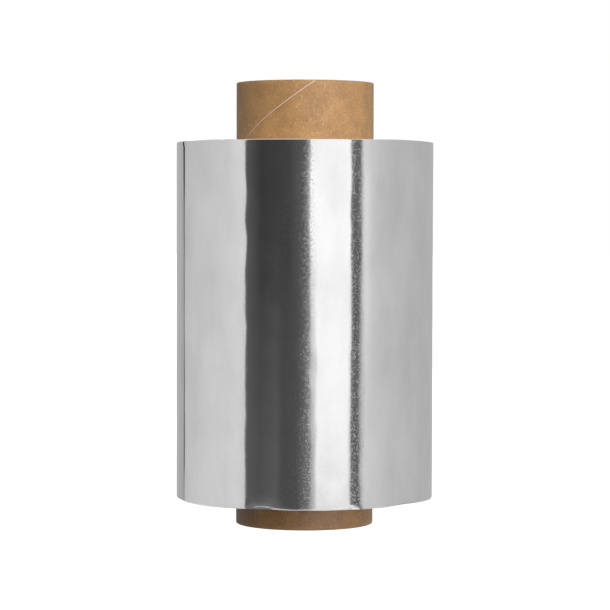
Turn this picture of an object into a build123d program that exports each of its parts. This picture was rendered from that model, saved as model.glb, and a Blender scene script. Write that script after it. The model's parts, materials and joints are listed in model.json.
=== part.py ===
from build123d import *
import os

# A roll of aluminium foil wound on a cardboard core that stands out at both ends.
#
# Millimetres, +Z up along the roll's axis. The origin is the centre of the core's lower end,
# which is the face that the roll stands on. Angles are counter-clockwise from +X, seen from
# above, and the front of the roll looks along -Y.

# The core: a spiral-wound cardboard tube, longer than the foil is wide.
core_bore = 38.0
core_wall = 4.25
core_edge_round = 0.3  # its cut ends, worn by handling
stub_below = 9.25  # how far the core stands out under the foil
stub_above = 20.0

# The foil: one long sheet, wound tight on the core.
foil_width = 120.0
foil_depth = 20.2  # from the core's outside to the last turn

# The sheet's loose end: its last few millimetres stand a little off the turn below.
tail_edge_angle = 201.7
tail_loose_angle = 16.0
tail_lift = 0.25

# What follows from the sizes above.
core_radius = core_bore / 2 + core_wall
core_length = stub_below + foil_width + stub_above
foil_radius = core_radius + foil_depth

# The core is open from end to end, so that a rod can hold the roll.
with BuildPart() as cardboard_core:
    with BuildSketch():
        Circle(core_radius)
        Circle(core_bore / 2, mode=Mode.SUBTRACT)
    extrude(amount=core_length)
    cut_ends = cardboard_core.edges().filter_by(GeomType.CIRCLE)
    fillet(cut_ends, radius=min(core_edge_round, core_wall / 3))
cardboard_core.part.label = "cardboard_core"

# The foil's outline is a full turn, whose end rises off it and drops back at the cut edge.
with BuildPart() as wound_foil:
    with BuildSketch(Plane.XY.offset(stub_below)):
        with BuildLine():
            turn = CenterArc((0, 0), foil_radius, tail_edge_angle, 360 - tail_loose_angle)
            lip = Vector(foil_radius + tail_lift, 0).rotate(Axis.Z, tail_edge_angle)
            TangentArc(turn @ 1, lip, tangent=turn % 1)
            Line(lip, turn @ 0)
        make_face()
        Circle(core_radius, mode=Mode.SUBTRACT)
    extrude(amount=foil_width)
wound_foil.part.label = "wound_foil"

os.makedirs("parts", exist_ok=True)
export_step(cardboard_core.part, "parts/cardboard_core.step")
export_step(wound_foil.part, "parts/wound_foil.step")
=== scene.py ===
import json
import math

import bmesh
import bpy
from bpy.props import FloatProperty, FloatVectorProperty, IntProperty, PointerProperty
from mathutils import Matrix, Vector, noise


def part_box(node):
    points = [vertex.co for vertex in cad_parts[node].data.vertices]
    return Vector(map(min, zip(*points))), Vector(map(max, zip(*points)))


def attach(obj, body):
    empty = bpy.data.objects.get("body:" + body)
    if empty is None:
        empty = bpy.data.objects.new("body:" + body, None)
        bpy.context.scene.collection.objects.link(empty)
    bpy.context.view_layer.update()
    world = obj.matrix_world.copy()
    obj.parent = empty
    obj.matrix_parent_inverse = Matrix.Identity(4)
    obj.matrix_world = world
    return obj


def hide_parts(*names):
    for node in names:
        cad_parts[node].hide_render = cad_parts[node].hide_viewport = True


bl_info = {
    "name": "Foil Roll",
    "version": (1, 0, 0),
    "blender": (4, 5, 0),
    "location": "3D View > Sidebar > Foil Roll",
    "description": "Builds a roll of aluminium foil on its cardboard core",
    "category": "Add Mesh",
}

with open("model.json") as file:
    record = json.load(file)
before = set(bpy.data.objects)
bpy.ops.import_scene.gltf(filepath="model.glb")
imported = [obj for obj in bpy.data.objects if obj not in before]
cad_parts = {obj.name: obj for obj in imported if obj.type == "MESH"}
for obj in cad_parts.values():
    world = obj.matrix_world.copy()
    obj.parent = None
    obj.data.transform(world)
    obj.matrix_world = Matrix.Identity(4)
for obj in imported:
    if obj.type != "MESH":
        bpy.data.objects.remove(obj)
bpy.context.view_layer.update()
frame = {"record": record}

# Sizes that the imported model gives, in metres. Z is up along the roll's axis, and -Y is the front.
core_low, core_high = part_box("cardboard_core")
foil_low, foil_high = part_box("wound_foil")
CORE_RADIUS = (core_high.x - core_low.x) / 2
FOIL_RADIUS = (foil_high.y - foil_low.y) / 2
FOIL_WIDTH = foil_high.z - foil_low.z
BORE_RADIUS = next(m["dims"]["r_mm"] for m in frame["record"]["mounts"] if m["name"] == "core_bore") / 1000

MM = 0.001
FULL_TURN = 2 * math.pi
MERGE_DISTANCE = 0.001 * MM
SHARP_EDGE = math.radians(35)


# ---------------------------------------------------------------------------------------------
# What a user can change
# ---------------------------------------------------------------------------------------------


class CoreSettings(bpy.types.PropertyGroup):
    """The cardboard core"""

    board_color: FloatVectorProperty(
        name="Board",
        description="Colour of the kraft paper",
        subtype="COLOR",
        size=3,
        min=0,
        max=1,
        default=(0.555, 0.29, 0.1),
    )
    seam_color: FloatVectorProperty(
        name="Seam",
        description="Colour of the paper's cut edge, which shows along the spiral seam",
        subtype="COLOR",
        size=3,
        min=0,
        max=1,
        default=(0.82, 0.53, 0.37),
    )
    fleck_color: FloatVectorProperty(
        name="Flecks",
        description="Colour of the pale straw flecks in the paper",
        subtype="COLOR",
        size=3,
        min=0,
        max=1,
        default=(0.72, 0.46, 0.2),
    )
    seam_pitch: FloatProperty(
        name="Seam Pitch",
        description="How far the spiral seam climbs in one turn",
        unit="LENGTH",
        min=0.02,
        default=0.102,
    )
    seam_angle: FloatProperty(
        name="Seam Angle",
        description="Where the seam ends at the upper rim, counter-clockwise from +X",
        subtype="ANGLE",
        default=math.radians(-81),
    )
    plies: IntProperty(
        name="Plies",
        description="Layers of board in the wall",
        min=2,
        max=20,
        default=9,
    )


class FoilSettings(bpy.types.PropertyGroup):
    """The wound foil"""

    foil_color: FloatVectorProperty(
        name="Foil",
        description="Colour of the bright side",
        subtype="COLOR",
        size=3,
        min=0,
        max=1,
        default=(0.935, 0.935, 0.935),
    )
    tail_angle: FloatProperty(
        name="Tail Angle",
        description="Where the sheet's loose end lies, counter-clockwise from +X",
        subtype="ANGLE",
        default=math.radians(202.4),
    )
    tail_loose: FloatProperty(
        name="Tail Loose",
        description="How much of the last turn has come away",
        subtype="ANGLE",
        min=0.05,
        default=math.radians(16),
    )
    tail_lift: FloatProperty(
        name="Tail Lift",
        description="How far the loose end stands off at its upper corner",
        unit="LENGTH",
        min=0,
        max=0.002,
        default=0.25 * MM,
    )
    sheet_thickness: FloatProperty(
        name="Sheet Thickness",
        description="Thickness of the last turn, a little more than the real foil's",
        unit="LENGTH",
        min=0.00001,
        default=0.03 * MM,
    )
    rings: IntProperty(
        name="Rings",
        description="Groups of turns that show as rings on the roll's ends",
        min=10,
        max=95,
        default=84,
    )


class StageSettings(bpy.types.PropertyGroup):
    """The floor, the lights and the camera"""

    floor_color: FloatVectorProperty(
        name="Floor",
        description="Colour of the floor",
        subtype="COLOR",
        size=3,
        min=0,
        max=1,
        default=(0.9, 0.9, 0.9),
    )
    fill: FloatProperty(
        name="Fill",
        description="Strength of the soft light from all round",
        min=0,
        default=0.57,
    )
    key_power: FloatProperty(
        name="Key Power",
        description="Power of the large soft light at the front",
        unit="POWER",
        min=0,
        default=7.3,
    )
    camera_distance: FloatProperty(
        name="Camera Distance",
        description="From the roll's axis to the camera",
        unit="LENGTH",
        min=0.2,
        default=0.8303,
    )


# ---------------------------------------------------------------------------------------------
# Helpers for meshes
# ---------------------------------------------------------------------------------------------


def smoothstep(low, high, value):
    """0 below low, 1 above high, and a smooth rise between."""
    t = min(max((value - low) / (high - low), 0.0), 1.0)
    return t * t * (3 - 2 * t)


def interpolate(points, value):
    """The height at value of a line through (place, height) points, eased between them."""
    for (start, low), (end, high) in zip(points, points[1:]):
        if value <= end:
            return low + (high - low) * smoothstep(start, end, value)
    return points[-1][1]


def section_loop(bm, points):
    """A closed outline of (radius, height) points in the XZ plane."""
    verts = [bm.verts.new((radius, 0, height)) for radius, height in points]
    edges = [bm.edges.new((a, b)) for a, b in zip(verts, verts[1:] + verts[:1])]
    return verts + edges


def spin_full_turn(bm, geometry, steps):
    """Turns an outline about Z into a closed ring."""
    bmesh.ops.spin(
        bm,
        geom=geometry,
        cent=(0, 0, 0),
        axis=(0, 0, 1),
        angle=FULL_TURN,
        steps=steps,
        use_merge=True,
    )
    bmesh.ops.remove_doubles(bm, verts=bm.verts, dist=MERGE_DISTANCE)
    bmesh.ops.recalc_face_normals(bm, faces=bm.faces)


def radius_and_angle(point):
    """A point's distance from the axis, and its angle counter-clockwise from +X."""
    return math.hypot(point.x, point.y), math.atan2(point.y, point.x)


def place_at(point, radius, angle):
    """Moves a point to that radius and angle about the axis."""
    point.x, point.y = radius * math.cos(angle), radius * math.sin(angle)


def angle_between(angle, other):
    """The turn from other to angle, from minus half a turn to half a turn."""
    return (angle - other + math.pi) % FULL_TURN - math.pi


def new_piece(name, bm, materials, node):
    """Makes an object of a bmesh and seats it in the frame in the CAD node's place."""
    for face in bm.faces:
        face.smooth = True
    for edge in bm.edges:
        edge.smooth = edge.calc_face_angle(0.0) < SHARP_EDGE
    mesh = bpy.data.meshes.new(name)
    bm.to_mesh(mesh)
    bm.free()
    for material in materials:
        mesh.materials.append(material)
    piece = bpy.data.objects.new(name, mesh)
    bpy.context.scene.collection.objects.link(piece)
    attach(piece, "root")
    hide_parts(node)
    return piece


# ---------------------------------------------------------------------------------------------
# Helpers for materials
# ---------------------------------------------------------------------------------------------


def add_node(tree, kind, inputs=None, **settings):
    """Adds a node, sets its properties, and sets or links its inputs."""
    made = tree.nodes.new(kind)
    for name, value in settings.items():
        setattr(made, name, value)
    for name, value in (inputs or {}).items():
        if isinstance(value, bpy.types.NodeSocket):
            tree.links.new(value, made.inputs[name])
        else:
            made.inputs[name].default_value = value
    return made


def math_node(tree, operation, *values):
    """The result of a sum on sockets or numbers."""
    return add_node(tree, "ShaderNodeMath", dict(enumerate(values)), operation=operation).outputs[0]


def map_range(tree, value, from_low, from_high, to_low=0.0, to_high=1.0):
    """Maps one range to another, and holds the ends."""
    inputs = {
        "Value": value,
        "From Min": from_low,
        "From Max": from_high,
        "To Min": to_low,
        "To Max": to_high,
    }
    return add_node(tree, "ShaderNodeMapRange", inputs).outputs["Result"]


def mix_color(tree, factor, first, second, blend="MIX"):
    """Two colours mixed by a factor. Both may be sockets or (r, g, b)."""
    made = add_node(tree, "ShaderNodeMix", {"Factor": factor}, data_type="RGBA", blend_type=blend)
    for socket, value in zip((made.inputs[6], made.inputs[7]), (first, second)):
        if isinstance(value, bpy.types.NodeSocket):
            tree.links.new(value, socket)
        else:
            socket.default_value = (*value, 1.0)
    return made.outputs[2]


def noise_value(tree, vector, scale, detail=2.0, roughness=0.5):
    """Soft noise from 0 to 1, about 0.5, with features of 1 / scale metres."""
    inputs = {"Vector": vector, "Scale": scale, "Detail": detail, "Roughness": roughness}
    return add_node(tree, "ShaderNodeTexNoise", inputs).outputs["Fac"]


def stretched(tree, vector, factors):
    """Object coordinates multiplied axis by axis."""
    return add_node(tree, "ShaderNodeMapping", {"Vector": vector, "Scale": factors}).outputs["Vector"]


def new_material(name):
    """An empty node material, with its tree, its shader and the object coordinates."""
    material = bpy.data.materials.new(name)
    material.use_nodes = True
    tree = material.node_tree
    shader = tree.nodes["Principled BSDF"]
    place = tree.nodes.new("ShaderNodeTexCoord").outputs["Object"]
    return material, tree, shader, place


def bump(tree, height, distance, below=None):
    """A bump of that height in metres, laid over another one."""
    inputs = {"Height": height, "Distance": distance}
    if below is not None:
        inputs["Normal"] = below
    return add_node(tree, "ShaderNodeBump", inputs).outputs["Normal"]


def ramp_round(tree, angle, stops):
    """A grey ramp round the compass, from (degrees, level) stops."""
    made = add_node(tree, "ShaderNodeValToRGB", {"Fac": map_range(tree, angle, -math.pi, math.pi)})
    ramp = made.color_ramp
    while len(ramp.elements) < len(stops):
        ramp.elements.new(0.5)
    for element, (degrees, level) in zip(ramp.elements, stops):
        element.position = (degrees + 180) / 360
        element.color = (level, level, level, 1)
    return made.outputs["Color"]


# ---------------------------------------------------------------------------------------------
# Materials
# ---------------------------------------------------------------------------------------------


def axis_coordinates(tree, place):
    """Distance from the axis, angle about it and height, as sockets."""
    split = add_node(tree, "ShaderNodeSeparateXYZ", {"Vector": place}).outputs
    x, y, height = split["X"], split["Y"], split["Z"]
    squares = math_node(tree, "ADD", math_node(tree, "MULTIPLY", x, x), math_node(tree, "MULTIPLY", y, y))
    return math_node(tree, "SQRT", squares), math_node(tree, "ARCTAN2", y, x), height


TOP_SHADE_HEIGHT = 19 * MM  # how far down from the upper rim the paper is darkened as painted shade, standing in for less light falling near the top
# the colour that the painted shade multiplies the paper by at the upper rim
TOP_SHADE_COLOR = (0.84, 0.84, 0.86)


def kraft_paper(core):
    """Brown kraft paper: mottled, with dark and pale fibres, painted shade towards the upper rim, and the
    spiral seam's pale edge.
    """
    material, tree, shader, place = new_material("kraft_paper")
    radius, angle, height = axis_coordinates(tree, place)

    # How far a point lies from the seam, measured round the tube.
    climb = math_node(tree, "MULTIPLY", height, FULL_TURN / core.seam_pitch)
    seam_start = core.seam_angle - core_high.z * FULL_TURN / core.seam_pitch
    turned = math_node(tree, "SUBTRACT", math_node(tree, "SUBTRACT", angle, climb), seam_start)
    off_seam = math_node(tree, "ABSOLUTE", math_node(tree, "WRAP", turned, math.pi, -math.pi))
    seam_distance = math_node(tree, "MULTIPLY", off_seam, radius)
    on_seam = map_range(tree, seam_distance, 0.18 * MM, 0.34 * MM, 1.0, 0.0)
    beside_seam = map_range(tree, seam_distance, 0.30 * MM, 1.1 * MM, 0.25, 0.0)

    mottle = noise_value(tree, place, 180, detail=3.0, roughness=0.5)
    fibres = noise_value(tree, stretched(tree, place, (1.0, 1.0, 2.2)), 1300, detail=3.0, roughness=0.7)
    hairs = noise_value(tree, stretched(tree, place, (1.6, 1.6, 0.7)), 1900, detail=2.0, roughness=0.6)
    flecks = noise_value(tree, stretched(tree, place, (1.3, 1.3, 1.0)), 1150, detail=2.0)
    board = Vector(core.board_color)
    paper = mix_color(tree, map_range(tree, mottle, 0.35, 0.65), tuple(board * 0.87), tuple(board * 1.1))
    paper = mix_color(tree, map_range(tree, fibres, 0.54, 0.74, 0.0, 0.75), paper, tuple(board * 0.55))
    paper = mix_color(tree, map_range(tree, hairs, 0.60, 0.72, 0.0, 0.7), paper, tuple(board * 0.4))
    paper = mix_color(tree, map_range(tree, flecks, 0.58, 0.70, 0.0, 0.6), paper, core.fleck_color)
    # Painted shade: the paper is darkened towards the upper rim, standing in for less light falling there.
    top_shade = map_range(tree, height, core_high.z - TOP_SHADE_HEIGHT, core_high.z)
    paper = mix_color(tree, top_shade, paper, TOP_SHADE_COLOR, "MULTIPLY")
    paper = mix_color(tree, beside_seam, paper, tuple(board * 0.6))
    paper = mix_color(tree, on_seam, paper, core.seam_color)
    tree.links.new(paper, shader.inputs["Base Color"])
    tree.links.new(map_range(tree, fibres, 0.3, 0.7, 0.48, 0.38), shader.inputs["Roughness"])

    coarse = bump(tree, mottle, 0.04 * MM)
    tree.links.new(bump(tree, fibres, 0.035 * MM, coarse), shader.inputs["Normal"])
    return material


def cut_board(core):
    """The sawn ends of the core: plies in grey and brown, with a torn grain across them."""
    material, tree, shader, place = new_material("cut_board")
    radius, _, _ = axis_coordinates(tree, place)
    wall = CORE_RADIUS - BORE_RADIUS
    ply = math_node(tree, "MULTIPLY", math_node(tree, "SUBTRACT", radius, BORE_RADIUS), core.plies / wall)
    number = math_node(tree, "FLOOR", ply)
    shade = add_node(tree, "ShaderNodeTexWhiteNoise", {"W": number}, noise_dimensions="1D").outputs["Value"]
    grain = noise_value(tree, place, 2200, detail=3.0, roughness=0.7)
    board = Vector(core.board_color)
    grey_board = (board.x * 0.72, board.y * 0.86, board.z * 1.15)
    color = mix_color(tree, shade, tuple(board * 0.95), grey_board)
    color = mix_color(tree, map_range(tree, grain, 0.4, 0.7, 0.0, 0.6), color, tuple(board * 0.55))
    tree.links.new(color, shader.inputs["Base Color"])
    shader.inputs["Roughness"].default_value = 0.85
    tree.links.new(bump(tree, grain, 0.12 * MM), shader.inputs["Normal"])
    return material


# Where the sheet's face was rubbed dull between the turns: (degrees from +X, share of the full dullness).
RUBBED = [
    (-180, 0.35),
    (-160, 0.2),
    (-121, 0.12),
    (-104, 0.14),
    (-98, 0.48),
    (-92.5, 0.56),
    (-90, 0.78),
    (-86.4, 0.82),
    (-85.2, 0.1),
    (-70.5, 0.1),
    (-69, 0.62),
    (-63.8, 0.66),
    (-62.4, 0.12),
    (-20, 0.12),
    (5, 0.6),
    (30, 0.2),
    (62, 0.2),
    (80, 0.7),
    (105, 0.2),
    (150, 0.6),
    (180, 0.35),
]


def bright_foil(foil):
    """The sheet's face: close to a mirror, with fine grain, rolling lines and faint smudges."""
    material, tree, shader, place = new_material("bright_foil")
    shader.inputs["Metallic"].default_value = 1.0

    smudge = noise_value(tree, stretched(tree, place, (1.0, 1.0, 0.45)), 90, detail=4.0, roughness=0.6)
    color = Vector(foil.foil_color)
    tint = mix_color(tree, map_range(tree, smudge, 0.35, 0.7), tuple(color), tuple(color * 0.885))
    tree.links.new(tint, shader.inputs["Base Color"])

    # Clear between the grains of the metal, and dull on them.
    grain = noise_value(tree, place, 1850, detail=2.0, roughness=0.6)
    clear = map_range(tree, smudge, 0.3, 0.75, 0.04, 0.055)
    dull = map_range(tree, grain, 0.47, 0.64, 0.0, 0.27)
    _, angle, _ = axis_coordinates(tree, place)
    dull = math_node(tree, "MULTIPLY", dull, ramp_round(tree, angle, RUBBED))
    tree.links.new(math_node(tree, "ADD", clear, dull), shader.inputs["Roughness"])

    dimples = noise_value(tree, place, 320, detail=2.0)
    rolling_lines = noise_value(tree, stretched(tree, place, (0.02, 0.02, 1.0)), 4200, detail=1.0)
    relief = bump(tree, rolling_lines, 0.0005 * MM, bump(tree, dimples, 0.008 * MM))
    tree.links.new(bump(tree, grain, 0.002 * MM, relief), shader.inputs["Normal"])
    return material


def foil_edges(foil):
    """The roll's ends: the edges of all its turns, as fine bright and dull rings."""
    material, tree, shader, place = new_material("foil_edges")
    shader.inputs["Metallic"].default_value = 1.0
    radius, _, _ = axis_coordinates(tree, place)

    ring_place = add_node(tree, "ShaderNodeCombineXYZ", {"X": radius}).outputs["Vector"]
    fine_rings = noise_value(tree, ring_place, 9000, detail=3.0, roughness=0.75)
    broad_rings = noise_value(tree, ring_place, 700, detail=2.0)
    rubbed = noise_value(tree, place, 240, detail=3.0)
    color = Vector(foil.foil_color)
    tint = mix_color(tree, map_range(tree, fine_rings, 0.3, 0.7), tuple(color * 0.7), tuple(color))
    tint = mix_color(tree, map_range(tree, broad_rings, 0.4, 0.65, 0.0, 0.5), tint, tuple(color * 0.78))
    tree.links.new(tint, shader.inputs["Base Color"])
    tree.links.new(map_range(tree, rubbed, 0.35, 0.65, 0.26, 0.40), shader.inputs["Roughness"])
    relief = bump(tree, fine_rings, 0.05 * MM)
    tree.links.new(bump(tree, rubbed, 0.02 * MM, relief), shader.inputs["Normal"])
    return material


# ---------------------------------------------------------------------------------------------
# The core
# ---------------------------------------------------------------------------------------------

CORE_STEPS = 132
CORE_ROW = 1.5 * MM  # height of a row of faces on the wall
PLY_GROOVE_DEPTH = 0.09 * MM
PLY_GROOVE_WIDTH = 0.05 * MM
RIM_ROUND = 0.25 * MM
SEAM_DEPTH = 0.06 * MM
SEAM_GATHER = math.radians(22)  # columns this near the seam are drawn in towards it
WALL_UNEVEN = 0.015 * MM
SAWN_UNEVEN = 0.04 * MM


def ply_outline(plies):
    """(radius, drop) points across a cut end, from the bore out: rounded rims and a groove between plies."""
    wall = CORE_RADIUS - BORE_RADIUS
    points = [
        (BORE_RADIUS, RIM_ROUND),
        (BORE_RADIUS + RIM_ROUND / 2, RIM_ROUND / 4),
        (BORE_RADIUS + RIM_ROUND, 0.0),
    ]
    for number in range(1, plies):
        joint = BORE_RADIUS + wall * number / plies
        points.append((joint - PLY_GROOVE_WIDTH, 0.0))
        points.append((joint, PLY_GROOVE_DEPTH))
        points.append((joint + PLY_GROOVE_WIDTH, 0.0))
    points += [
        (CORE_RADIUS - RIM_ROUND, 0.0),
        (CORE_RADIUS - RIM_ROUND / 2, RIM_ROUND / 4),
        (CORE_RADIUS, RIM_ROUND),
    ]
    return points


def core_outline(plies):
    """The core's section: up the bore, across the upper end, down the outside and back."""
    bottom, top = core_low.z, core_high.z
    rows = int((top - bottom) / CORE_ROW)
    heights = [bottom + RIM_ROUND + (top - bottom - 2 * RIM_ROUND) * row / rows for row in range(1, rows)]
    end = ply_outline(plies)
    outline = [(BORE_RADIUS, height) for height in heights]
    outline += [(radius, top - drop) for radius, drop in end]
    outline += [(CORE_RADIUS, height) for height in reversed(heights)]
    outline += [(radius, bottom + drop) for radius, drop in reversed(end)]
    return outline


def gather_columns(bm):
    """Draws the columns beside angle 0 together, so that the seam's groove is narrow there."""
    for vert in bm.verts:
        radius, angle = radius_and_angle(vert.co)
        if abs(angle) < SEAM_GATHER:
            place_at(vert.co, radius, angle * abs(angle) / SEAM_GATHER)


def cut_seam(bm):
    """Lowers the column at angle 0 on the outside, which leaves a narrow groove."""
    for vert in bm.verts:
        radius, angle = radius_and_angle(vert.co)
        if abs(angle) < math.radians(0.1) and radius > CORE_RADIUS - 0.01 * MM:
            place_at(vert.co, radius - SEAM_DEPTH, angle)


def wind_columns(bm, pitch, top_angle):
    """Twists the tube, so that the column at angle 0 climbs as a right-handed spiral to top_angle."""
    for vert in bm.verts:
        turn = top_angle + (vert.co.z - core_high.z) * FULL_TURN / pitch
        vert.co.rotate(Matrix.Rotation(turn, 3, "Z"))


def roughen_core(bm):
    """Unevenness of rolled paper on the wall, and of a saw cut on the ends. It only takes away."""
    for vert in bm.verts:
        radius, angle = radius_and_angle(vert.co)
        wave = noise.noise(vert.co * 110)
        fuzz = noise.noise(vert.co * 900)
        place_at(vert.co, radius - WALL_UNEVEN * (1 + wave), angle)
        end_gap = min(vert.co.z - core_low.z, core_high.z - vert.co.z)
        if end_gap < 2 * RIM_ROUND:
            inward = 1 if vert.co.z < core_high.z / 2 else -1
            vert.co.z += inward * SAWN_UNEVEN * (1 + fuzz)


class FOILROLL_OT_core(bpy.types.Operator):
    """Make the spiral-wound cardboard core"""

    bl_idname = "foil_roll.core"
    bl_label = "Core"

    def execute(self, context):
        core = context.scene.foil_roll_core
        bm = bmesh.new()
        spin_full_turn(bm, section_loop(bm, core_outline(core.plies)), CORE_STEPS)
        for face in bm.faces:
            face.material_index = 1 if abs(face.normal.z) > 0.5 else 0
        gather_columns(bm)
        cut_seam(bm)
        wind_columns(bm, core.seam_pitch, core.seam_angle)
        roughen_core(bm)
        new_piece("core_tube", bm, [kraft_paper(core), cut_board(core)], "cardboard_core")
        return {"FINISHED"}


# ---------------------------------------------------------------------------------------------
# The foil
# ---------------------------------------------------------------------------------------------

WINDING_STEPS = 240
WINDING_GAP = 0.12 * MM  # between the winding's shoulders and the face of the last turn
WINDING_WAIST = 0.4 * MM  # how much deeper the winding lies between its shoulders, out of sight
SHOULDER = 0.9 * MM  # from an end to the shoulder beside it
RIM_BEVEL = 0.5 * MM  # how far in from the shoulder an end's outermost ring lies
END_RIPPLE = 0.06 * MM  # how far the ends are out of flat
RING_DROP = 0.14 * MM  # how far the rings lie below the full width on average
RING_SLOW = 0.16 * MM  # and how much that changes over many rings
RING_FAST = 0.07 * MM  # and from one ring to the next
RING_STEP = 0.08  # share of a ring's width on each side that slopes to the next ring


def ring_drops(rings, seed):
    """How far each ring of turns on an end lies below the foil's full width."""
    drops = []
    for ring in range(rings):
        slow = noise.noise(Vector((ring * 0.045, seed, 0.0)))
        fast = noise.noise(Vector((ring * 0.83, seed, 7.0)))
        drops.append(RING_DROP + RING_SLOW * slow + RING_FAST * fast)
    return drops


def end_outline(rings, seed):
    """(radius, drop) points across an end, from the core out: each ring is a small step."""
    outside = FOIL_RADIUS - WINDING_GAP - RIM_BEVEL
    ring_width = (outside - CORE_RADIUS) / rings
    points = []
    for ring, drop in enumerate(ring_drops(rings, seed)):
        start = CORE_RADIUS + ring * ring_width
        points.append((start + RING_STEP * ring_width, drop))
        points.append((start + (1 - RING_STEP) * ring_width, drop))
    points[0] = (CORE_RADIUS, points[0][1])
    points[-1] = (outside, points[-1][1])
    return points


def winding_outline(rings):
    """The section of all the turns under the last one."""
    upper = [(radius, foil_high.z - drop) for radius, drop in end_outline(rings, 1.0)]
    lower = [(radius, foil_low.z + drop) for radius, drop in reversed(end_outline(rings, 2.0))]
    shoulder = FOIL_RADIUS - WINDING_GAP
    waist = shoulder - WINDING_WAIST
    side = [
        (shoulder, foil_high.z - SHOULDER),
        (waist, foil_high.z - 4 * SHOULDER),
        (waist, foil_low.z + 4 * SHOULDER),
        (shoulder, foil_low.z + SHOULDER),
    ]
    return upper + side + lower


# Where the turns crept along the core as they were wound: angle and half width in degrees, and how far the
# lower rim rose in millimetres.
LOWER_RIM_DRIFT = [
    (-38, 12, 0.14),
    (-54, 10, -0.16),
    (-78, 10, -0.20),
    (-140, 22, -0.44),
    (-43, 8, 0.16),
    (-15, 11, -0.26),
    (-95, 6, -0.12),
    (-108, 5, 0.08),
    (-155, 4, -0.08),
    (-163, 5, 0.14),
    (-65, 6, -0.08),
    (75, 40, 0.25),
]

# The same for the upper rim.
UPPER_RIM_DRIFT = [
    (180, 40, -0.22),
    (0, 38, -0.20),
    (-90, 50, -0.21),
    (-127, 8, 0.12),
    (-148, 7, -0.1),
    (-119, 4, -0.16),
    (-46, 15, 0.16),
]


def rim_drift(bumps, angle):
    """How far a rim lies above its mean height."""
    drift = 0.0
    for place, half, rise in bumps:
        away = angle_between(angle, math.radians(place)) / math.radians(half)
        drift += rise * MM * math.exp(-(away**2))
    return drift


# Knocks on the rims: angle in degrees, the end (1 upper, 0 lower), and reach and depth in millimetres.
KNOCKS = [
    (62, 1, 2.6, 0.5),
    (131, 1, 4.0, 0.35),
    (164, 0, 3.4, 0.5),
    (-128, 1, 1.6, 0.25),
    (34, 0, 2.4, 0.45),
]
KNOCK_INWARDS = 0.5  # shares of a knock's depth that push towards the axis
KNOCK_ALONG = 0.7  # and along it


def knocked_in(point):
    """How far a point near a rim was pushed in by the knocks."""
    depth = 0.0
    for degrees, end, reach, most in KNOCKS:
        rim = Vector((0.0, 0.0, foil_low.z + end * FOIL_WIDTH))
        place_at(rim, FOIL_RADIUS, math.radians(degrees))
        near = (point - rim).length / (reach * MM)
        depth += most * MM * math.exp(-near * near)
    return depth


def move_with_knocks(point):
    """Pushes a point towards the roll's middle by what the knocks did to it."""
    depth = knocked_in(point)
    radius, angle = radius_and_angle(point)
    upper = point.z > (foil_low.z + foil_high.z) / 2
    place_at(point, radius - KNOCK_INWARDS * depth, angle)
    point.z += -KNOCK_ALONG * depth if upper else KNOCK_ALONG * depth


class FOILROLL_OT_winding(bpy.types.Operator):
    """Make the wound foil under the last turn, with the edges of its turns on both ends"""

    bl_idname = "foil_roll.winding"
    bl_label = "Winding"

    def execute(self, context):
        foil = context.scene.foil_roll_foil
        bm = bmesh.new()
        spin_full_turn(bm, section_loop(bm, winding_outline(foil.rings)), WINDING_STEPS)
        middle = (foil_low.z + foil_high.z) / 2
        for vert in bm.verts:
            radius, angle = radius_and_angle(vert.co)
            ripple = noise.noise(Vector((vert.co.x * 45, vert.co.y * 45, 3.0)))
            inward = -1 if vert.co.z > middle else 1
            vert.co.z += inward * END_RIPPLE * ripple
            place_at(vert.co, radius * (1 - sheet_waves(angle, vert.co.z) / FOIL_RADIUS), angle)
            vert.co.z += rim_drift(UPPER_RIM_DRIFT if vert.co.z > middle else LOWER_RIM_DRIFT, angle)
            move_with_knocks(vert.co)
        new_piece("foil_winding", bm, [foil_edges(foil)], "wound_foil")
        return {"FINISHED"}


SHEET_COLUMNS = 400
SHEET_ROWS = 112
ROW_CROWDING = 1.6  # above 1, the rows are closer together near the rims
UNDERLAP = 0.05 * MM  # how far the turn under the loose end lies below the roll's outside
UNDERLAP_FROM = math.radians(290)  # how far back from the loose end the turn starts to dip to there
TAIL_SLIP = 0.25 * MM  # how far the loose end's upper edge has slipped down
TAIL_LEAN = math.radians(0.35)  # how far the loose end falls short along its upper half
CORNER_LEAN = math.radians(0.9)  # and at its upper corner
TAIL_RAGGED = math.radians(0.12)  # how uneven its cut is
BROAD_WAVES = 0.045 * MM  # depths of the hollows in the sheet
FINE_WAVES = 0.03 * MM
WAVES_MIDDLE = 0.02 * MM
LOWER_ROLL_IN = 0.03 * MM  # how far the sheet's edges turn in at the rims
UPPER_ROLL_IN = 0.08 * MM
ROLL_IN_HEIGHT = 0.3 * MM
CREASE_HEIGHT = 1.6 * MM  # how far up from the lower rim the creases reach
CREASE_DEPTH = 0.05 * MM
EDGE_UNEVEN = 0.012 * MM  # how far the lower edge is out of round elsewhere
CREASED_ANGLE = math.radians(-109)  # the middle of the creased part of the lower edge
CREASED_SPREAD = math.radians(9)
HEM_START = math.radians(-113.8)  # the left end of the crushed strip on the lower edge
HEM_LENGTH = math.radians(21.3)  # the strip narrows within this, and ends at about twice as far
HEM_WIDE = 1.25 * MM
HEM_NARROW = 0.3 * MM
HEM_DEPTH = 0.15 * MM
HEM_LEAN = 0.09 * MM  # how far the sheet leans in above the strip
HEM_LEAN_HEIGHT = 6 * MM
DENT_ANGLE = math.radians(-72.5)  # a dent in the lower edge, to the right of the strip
DENT_SPREAD = math.radians(6)
DENT_HEIGHT = 1.1 * MM
DENT_DEPTH = 0.3 * MM

# How far the loose end stands off at heights up the roll, as shares of the width and of the lift.
TAIL_GAPE = [
    (0.0, 0.0),
    (0.05, 0.08),
    (0.11, 0.42),
    (0.2, 0.38),
    (0.33, 0.27),
    (0.45, 0.18),
    (0.65, 0.25),
    (0.8, 0.42),
    (0.93, 0.82),
    (1.0, 0.92),
]


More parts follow.
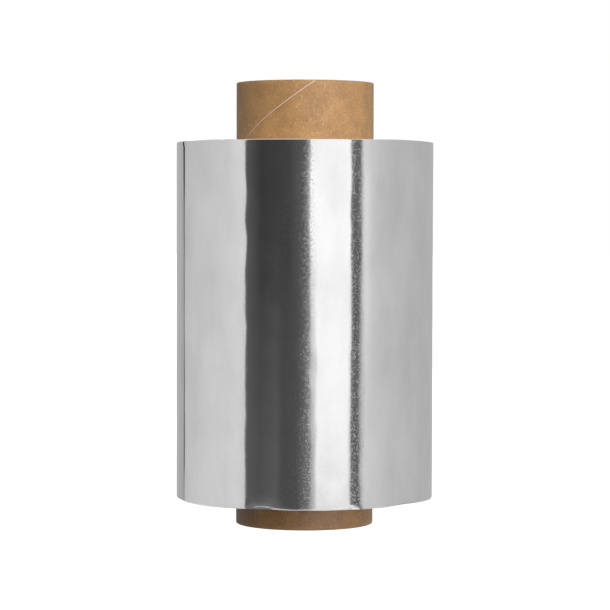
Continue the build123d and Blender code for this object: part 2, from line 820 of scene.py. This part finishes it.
def sheet_radius(foil, back, height):
    """Radius of the last turn's face, at an angle back from the sheet's end and a share of the width."""
    under = UNDERLAP * smoothstep(UNDERLAP_FROM, FULL_TURN, back)
    loose = max(0.0, 1.0 - back / foil.tail_loose)
    lift = foil.tail_lift * interpolate(TAIL_GAPE, height) * loose * loose
    return FOIL_RADIUS - under + lift


def sheet_waves(angle, z):
    """Slight hollows in the last turn, where it lies over uneven turns. They only go inwards."""
    around = Vector((math.cos(angle), math.sin(angle), 0.0))
    broad = noise.noise(around * 3.2 + Vector((0, 0, z * 28)))
    fine = noise.noise(around * 8.0 + Vector((0, 4.0, z * 110)))
    return max(0.0, BROAD_WAVES * broad + FINE_WAVES * fine + WAVES_MIDDLE)


def rim_crinkle(angle, from_rim):
    """Creases in the last turn's lower edge at the front, and a slight unevenness all round."""
    near = 1 - smoothstep(0.0, CREASE_HEIGHT, from_rim)
    patch = math.exp(-((angle_between(angle, CREASED_ANGLE) / CREASED_SPREAD) ** 2))
    crease = noise.noise(Vector((angle * 38, from_rim * 700, 11.0)))
    small = noise.noise(Vector((angle * 60, from_rim * 500, 5.0)))
    return near * (CREASE_DEPTH * patch * (crease + 0.6) + EDGE_UNEVEN * (small + 1))


def rim_roll_in(from_rim, most):
    """A sheet's edge turns in by a hair at the rim."""
    near = max(0.0, 1 - from_rim / ROLL_IN_HEIGHT)
    return most * near * near


def lower_hem(angle, from_rim):
    """How far the lower edge was pushed in at the front: a crushed strip, a lean above it, and a dent."""
    along = angle_between(angle, HEM_START) / HEM_LENGTH
    uneven = 1 + 0.7 * noise.noise(Vector((angle * 26, 3.0, 1.0)))
    strip = (HEM_NARROW + (HEM_WIDE - HEM_NARROW) * (1 - smoothstep(0.1, 0.75, along))) * uneven
    strip_ends = smoothstep(0.0, 0.12, along) * (1 - smoothstep(1.7, 2.2, along))
    wrinkled = 1 + 0.6 * noise.noise(Vector((angle * 50, 9.0, 2.0)))
    crushed = strip_ends * smoothstep(0.0, 0.4 * MM, strip - from_rim) * wrinkled
    lean_ends = smoothstep(-0.12, 0.1, along) * (1 - smoothstep(0.5, 0.9, along))
    lean = max(0.0, 1 - from_rim / HEM_LEAN_HEIGHT)
    dent = math.exp(-((angle_between(angle, DENT_ANGLE) / DENT_SPREAD) ** 4))
    dent *= max(0.0, 1 - from_rim / DENT_HEIGHT)
    return HEM_DEPTH * crushed + HEM_LEAN * lean_ends * lean * lean + DENT_DEPTH * dent


def end_offset(height):
    """How far the loose end falls short of its place: it leans away towards its upper corner."""
    ragged = noise.noise(Vector((height * 9, 0.0, 17.0)))
    lean = TAIL_LEAN * smoothstep(0.35, 0.8, height) + CORNER_LEAN * smoothstep(0.985, 1.0, height)
    return TAIL_RAGGED * ragged + lean


class FOILROLL_OT_last_turn(bpy.types.Operator):
    """Make the last turn of the sheet, with its loose end, as a flat sheet rolled round the winding"""

    bl_idname = "foil_roll.last_turn"
    bl_label = "Last Turn"

    def execute(self, context):
        foil = context.scene.foil_roll_foil
        bm = bmesh.new()
        bmesh.ops.create_grid(bm, x_segments=SHEET_COLUMNS, y_segments=SHEET_ROWS, size=1.0)
        sweep = FULL_TURN + foil.tail_loose
        for vert in bm.verts:
            spread = math.copysign(1 - (1 - abs(vert.co.y)) ** ROW_CROWDING, vert.co.y)
            height = (spread + 1) / 2
            back = (1 - vert.co.x) / 2 * sweep
            angle = foil.tail_angle - back - end_offset(height) * max(0.0, 1 - back / foil.tail_loose)
            z = foil_low.z + height * FOIL_WIDTH
            from_lower, from_upper = height * FOIL_WIDTH, (1 - height) * FOIL_WIDTH
            radius = sheet_radius(foil, back, height)
            radius -= sheet_waves(angle, z) + rim_crinkle(angle, from_lower)
            radius -= rim_roll_in(from_lower, LOWER_ROLL_IN) + rim_roll_in(from_upper, UPPER_ROLL_IN)
            radius -= lower_hem(angle, from_lower)
            z += rim_drift(LOWER_RIM_DRIFT, angle) * (1 - height)
            z += rim_drift(UPPER_RIM_DRIFT, angle) * height
            z -= TAIL_SLIP * height * (1 - smoothstep(0.0, 2 * foil.tail_loose, back))
            place_at(vert.co, radius, angle)
            vert.co.z = z
            move_with_knocks(vert.co)
        bmesh.ops.recalc_face_normals(bm, faces=bm.faces)
        outward = sum(face.normal.dot(face.calc_center_median().to_2d().to_3d()) for face in bm.faces)
        if outward < 0:
            bmesh.ops.reverse_faces(bm, faces=bm.faces)
        bmesh.ops.solidify(bm, geom=bm.faces[:], thickness=foil.sheet_thickness)
        new_piece("foil_last_turn", bm, [bright_foil(foil)], "wound_foil")
        return {"FINISHED"}


# ---------------------------------------------------------------------------------------------
# The stage
# ---------------------------------------------------------------------------------------------

# What the foil mirrors: the brightness of the studio at three heights, by bearing in degrees to the right of
# the camera. The foil's upper part mirrors the first, its lower part the second, and views from above the
# third.
STUDIO_UPPER = [
    (-180, 0.475),
    (-165, 0.46),
    (-156, 0.45),
    (-149, 0.44),
    (-143, 0.405),
    (-139.5, 0.375),
    (-136.5, 0.46),
    (-134.5, 0.53),
    (-107, 0.58),
    (-71, 0.66),
    (-59, 0.72),
    (-54.8, 0.70),
    (-53.4, 0.10),
    (-46, 0.070),
    (-39, 0.044),
    (-14, 0.056),
    (-7, 0.080),
    (-0.7, 0.098),
    (4.0, 0.24),
    (5.6, 1.06),
    (9, 1.04),
    (36, 1.04),
    (40.9, 1.06),
    (42.1, 0.20),
    (44.5, 0.11),
    (50.3, 0.11),
    (53.4, 0.72),
    (56, 0.73),
    (62, 0.62),
    (70, 0.56),
    (90, 0.51),
    (180, 0.455),
]
STUDIO_LOWER = [
    (-180, 0.47),
    (-156, 0.44),
    (-143, 0.405),
    (-139.5, 0.375),
    (-136.5, 0.46),
    (-134.5, 0.545),
    (-98, 0.65),
    (-63, 0.71),
    (-54.6, 0.62),
    (-53.2, 0.10),
    (-40, 0.079),
    (-25, 0.102),
    (-19, 0.069),
    (-7, 0.076),
    (0.8, 0.14),
    (5.0, 0.20),
    (7.0, 0.45),
    (9.1, 0.52),
    (11.4, 1.0),
    (38.1, 0.99),
    (40.6, 0.75),
    (42.2, 0.17),
    (46.9, 0.10),
    (49.1, 0.13),
    (51.3, 0.52),
    (54.8, 0.66),
    (60, 0.625),
    (82, 0.55),
    (126, 0.477),
    (180, 0.46),
]
STUDIO_BELOW = [
    (-180, 0.42),
    (-166, 0.36),
    (-150, 0.33),
    (-142, 0.56),
    (-105, 0.74),
    (-60, 0.62),
    (-54.5, 0.60),
    (-53.0, 0.15),
    (-30, 0.15),
    (-17, 0.10),
    (-4, 0.12),
    (4.2, 0.30),
    (8.5, 0.62),
    (11.5, 0.95),
    (43, 0.95),
    (46, 0.22),
    (51, 0.18),
    (55, 0.64),
    (88, 0.54),
    (96, 0.42),
    (116, 0.40),
    (124, 0.52),
    (150, 0.74),
    (180, 0.42),
]
BACKDROP = (1.0, 1.0, 1.0)

# Heights of a direction, as the sine of its elevation, over which one part of the studio gives way to
# the next.
UPPER_TO_LOWER = (-0.005, -0.09)
LOWER_TO_BELOW = (-0.125, -0.175)
WALLS_TO_SKY = (0.3, 0.6)
WALLS_TO_TABLE = (-0.42, -0.62)
BRIGHTEST = (-0.092, -0.125, 1.05, 0.84)  # two heights, and the brightest that the walls are at each
SKY = (0.8, 0.8, 0.8)
TABLE = (0.95, 0.95, 0.95)
TABLE_SHARE = 0.5
FLOOR_TO_FILL = (0.05, 0.35)

# The soft light from all round on everything dull.
FILL_SIDE = (0.6, -0.8, 0.0)  # the side that it is strongest from
FILL_BRIGHT = (1.92, 2.04, 2.4)  # its colour from that side
FILL_DIM = (0.1, 0.062, 0.03)  # its colour square to that side
FILL_BACK = (1.5, 1.2, 0.95)  # its colour from the opposite side
FLOOR_BRIGHT = (3.0, 3.1, 4.0)  # its colour from that side where it comes up from the floor
FLOOR_DIM = (0.0, 0.0, 0.0)  # and from the floor elsewhere

# Where one colour becomes the next: 1 is straight from that side, 0 square to it and -1 opposite.
DIM_TO_BRIGHT = (-0.1, 1.0)
DIM_TO_BACK = (-0.45, -1.0)
FLOOR_DIM_TO_BRIGHT = (0.6, 1.0)

FLOOR_RADIUS = 6.0
FLOOR_GLOW = 0.87  # how far the floor near the roll is lifted towards the backdrop
FLOOR_FADE = (0.05, 0.35)  # distances from the axis between which the rest of the way is made up
FLOOR_BRIGHTNESS = 1.22
KEY_PLACE = (0.17, -0.88, 0.71)
KEY_AIM = (0, 0, 0.08)
KEY_SIZE = 0.8
KEY_COLOR = (0.98, 1.05, 1.15)
LENS = 144.27  # millimetres, on a 36 mm sensor
CAMERA_SIDE = 0.11 * MM
CAMERA_HEIGHT = 34.33 * MM  # above the foil's middle
CAMERA_PITCH = math.radians(2.036)
CAMERA_ROLL = math.radians(0.129)


def studio_world(stage):
    """Soft walls that the foil mirrors, a fill from the front right for dull faces, and a pale backdrop."""
    world = bpy.data.worlds.new("studio")
    world.use_nodes = True
    tree = world.node_tree
    background = tree.nodes["Background"]
    direction = tree.nodes.new("ShaderNodeTexCoord").outputs["Generated"]
    split = add_node(tree, "ShaderNodeSeparateXYZ", {"Vector": direction}).outputs
    forward = math_node(tree, "MULTIPLY", split["Y"], -1.0)
    bearing = math_node(tree, "ARCTAN2", split["X"], forward)
    upper = ramp_round(tree, bearing, STUDIO_UPPER)
    lower = ramp_round(tree, bearing, STUDIO_LOWER)
    below = ramp_round(tree, bearing, STUDIO_BELOW)
    height = split["Z"]
    walls = mix_color(tree, map_range(tree, height, *UPPER_TO_LOWER), upper, lower)
    walls = mix_color(tree, map_range(tree, height, *LOWER_TO_BELOW), walls, below)
    walls = math_node(tree, "MINIMUM", walls, map_range(tree, height, *BRIGHTEST))
    walls = mix_color(tree, map_range(tree, height, *WALLS_TO_SKY), walls, SKY)
    walls = mix_color(tree, map_range(tree, height, *WALLS_TO_TABLE, 0.0, TABLE_SHARE), walls, TABLE)

    dot = add_node(tree, "ShaderNodeVectorMath", {0: direction, 1: FILL_SIDE}, operation="DOT_PRODUCT")
    aside = dot.outputs["Value"]
    colors = (FILL_DIM, FILL_BRIGHT, FILL_BACK, FLOOR_DIM, FLOOR_BRIGHT)
    dim, bright, back, low_dim, low_bright = (tuple(Vector(color) * stage.fill) for color in colors)
    fill = mix_color(tree, map_range(tree, aside, *DIM_TO_BRIGHT), dim, bright)
    fill = mix_color(tree, map_range(tree, aside, *DIM_TO_BACK), fill, back)
    from_floor = mix_color(tree, map_range(tree, aside, *FLOOR_DIM_TO_BRIGHT), low_dim, low_bright)
    fill = mix_color(tree, map_range(tree, height, *FLOOR_TO_FILL), from_floor, fill)

    # The walls show in the foil, and the fill lights the rest, also by way of the foil.
    path = tree.nodes.new("ShaderNodeLightPath").outputs
    not_scattered = math_node(tree, "LESS_THAN", path["Diffuse Depth"], 0.5)
    mirrored = math_node(tree, "MULTIPLY", path["Is Glossy Ray"], not_scattered)
    color = mix_color(tree, mirrored, fill, walls)
    color = mix_color(tree, path["Is Camera Ray"], color, BACKDROP)
    tree.links.new(color, background.inputs["Color"])
    bpy.context.scene.world = world


def pale_floor(stage):
    """A matt floor that fades into the backdrop away from the roll."""
    bm = bmesh.new()
    bmesh.ops.create_circle(bm, cap_ends=True, segments=96, radius=FLOOR_RADIUS)
    mesh = bpy.data.meshes.new("floor")
    bm.to_mesh(mesh)
    bm.free()
    floor = bpy.data.objects.new("floor", mesh)
    bpy.context.scene.collection.objects.link(floor)
    material, tree, shader, place = new_material("pale_floor")
    shader.inputs["Base Color"].default_value = (*stage.floor_color, 1)
    shader.inputs["Roughness"].default_value = 0.9
    shader.inputs["Specular IOR Level"].default_value = 0.0
    radius, _, _ = axis_coordinates(tree, place)
    emission = {"Color": (*BACKDROP, 1), "Strength": FLOOR_BRIGHTNESS}
    glow = add_node(tree, "ShaderNodeEmission", emission).outputs["Emission"]
    fade = map_range(tree, radius, *FLOOR_FADE, FLOOR_GLOW, 1.0)
    mixed = add_node(tree, "ShaderNodeMixShader", {0: fade, 1: shader.outputs["BSDF"], 2: glow})
    tree.links.new(mixed.outputs["Shader"], tree.nodes["Material Output"].inputs["Surface"])
    mesh.materials.append(material)
    floor.visible_glossy = False
    floor.visible_diffuse = False


def soft_light(name, place, aim, size, power, color):
    """A large square light that shapes the matt surfaces and isn't mirrored by the foil."""
    data = bpy.data.lights.new(name, "AREA")
    data.size = size
    data.energy = power
    data.color = color
    lamp = bpy.data.objects.new(name, data)
    lamp.location = place
    lamp.rotation_mode = "QUATERNION"
    lamp.rotation_quaternion = (Vector(aim) - Vector(place)).to_track_quat("-Z", "Y")
    lamp.visible_glossy = False
    lamp.visible_camera = False
    bpy.context.scene.collection.objects.link(lamp)


def front_camera(stage):
    """A long lens a little above the roll's middle, looking slightly down."""
    data = bpy.data.cameras.new("camera")
    data.lens = LENS
    data.sensor_width = 36
    data.clip_start = 0.01
    data.clip_end = 50
    camera = bpy.data.objects.new("camera", data)
    middle = (foil_low.z + foil_high.z) / 2
    camera.location = (CAMERA_SIDE, -stage.camera_distance, middle + CAMERA_HEIGHT)
    tilt = Matrix.Rotation(math.pi / 2 - CAMERA_PITCH, 3, "X") @ Matrix.Rotation(CAMERA_ROLL, 3, "Z")
    camera.rotation_euler = tilt.to_euler()
    bpy.context.scene.collection.objects.link(camera)
    bpy.context.scene.camera = camera


class FOILROLL_OT_stage(bpy.types.Operator):
    """Set up the pale floor, the soft light and the camera"""

    bl_idname = "foil_roll.stage"
    bl_label = "Stage"

    def execute(self, context):
        stage = context.scene.foil_roll_stage
        context.scene.view_settings.view_transform = "Standard"
        studio_world(stage)
        pale_floor(stage)
        soft_light("key", KEY_PLACE, KEY_AIM, KEY_SIZE, stage.key_power, KEY_COLOR)
        front_camera(stage)
        return {"FINISHED"}


# ---------------------------------------------------------------------------------------------
# Sidebar and registration
# ---------------------------------------------------------------------------------------------


class FOILROLL_PT_panel(bpy.types.Panel):
    """Lists the pieces and their settings"""

    bl_idname = "FOILROLL_PT_panel"
    bl_label = "Foil Roll"
    bl_space_type = "VIEW_3D"
    bl_region_type = "UI"
    bl_category = "Foil Roll"

    def draw(self, context):
        groups = (
            (context.scene.foil_roll_core, ("foil_roll.core",)),
            (context.scene.foil_roll_foil, ("foil_roll.winding", "foil_roll.last_turn")),
            (context.scene.foil_roll_stage, ("foil_roll.stage",)),
        )
        for settings, operators in groups:
            box = self.layout.box()
            for name in settings.bl_rna.properties.keys():
                if name not in {"rna_type", "name"}:
                    box.prop(settings, name)
            for operator in operators:
                box.operator(operator)


classes = (
    CoreSettings,
    FoilSettings,
    StageSettings,
    FOILROLL_OT_core,
    FOILROLL_OT_winding,
    FOILROLL_OT_last_turn,
    FOILROLL_OT_stage,
    FOILROLL_PT_panel,
)


def register():
    for cls in classes:
        bpy.utils.register_class(cls)
    bpy.types.Scene.foil_roll_core = PointerProperty(type=CoreSettings)
    bpy.types.Scene.foil_roll_foil = PointerProperty(type=FoilSettings)
    bpy.types.Scene.foil_roll_stage = PointerProperty(type=StageSettings)


def unregister():
    del bpy.types.Scene.foil_roll_core
    del bpy.types.Scene.foil_roll_foil
    del bpy.types.Scene.foil_roll_stage
    for cls in reversed(classes):
        bpy.utils.unregister_class(cls)


def main():
    register()
    bpy.ops.foil_roll.core()
    bpy.ops.foil_roll.winding()
    bpy.ops.foil_roll.last_turn()
    bpy.ops.foil_roll.stage()


if __name__ == "__main__":
    main()
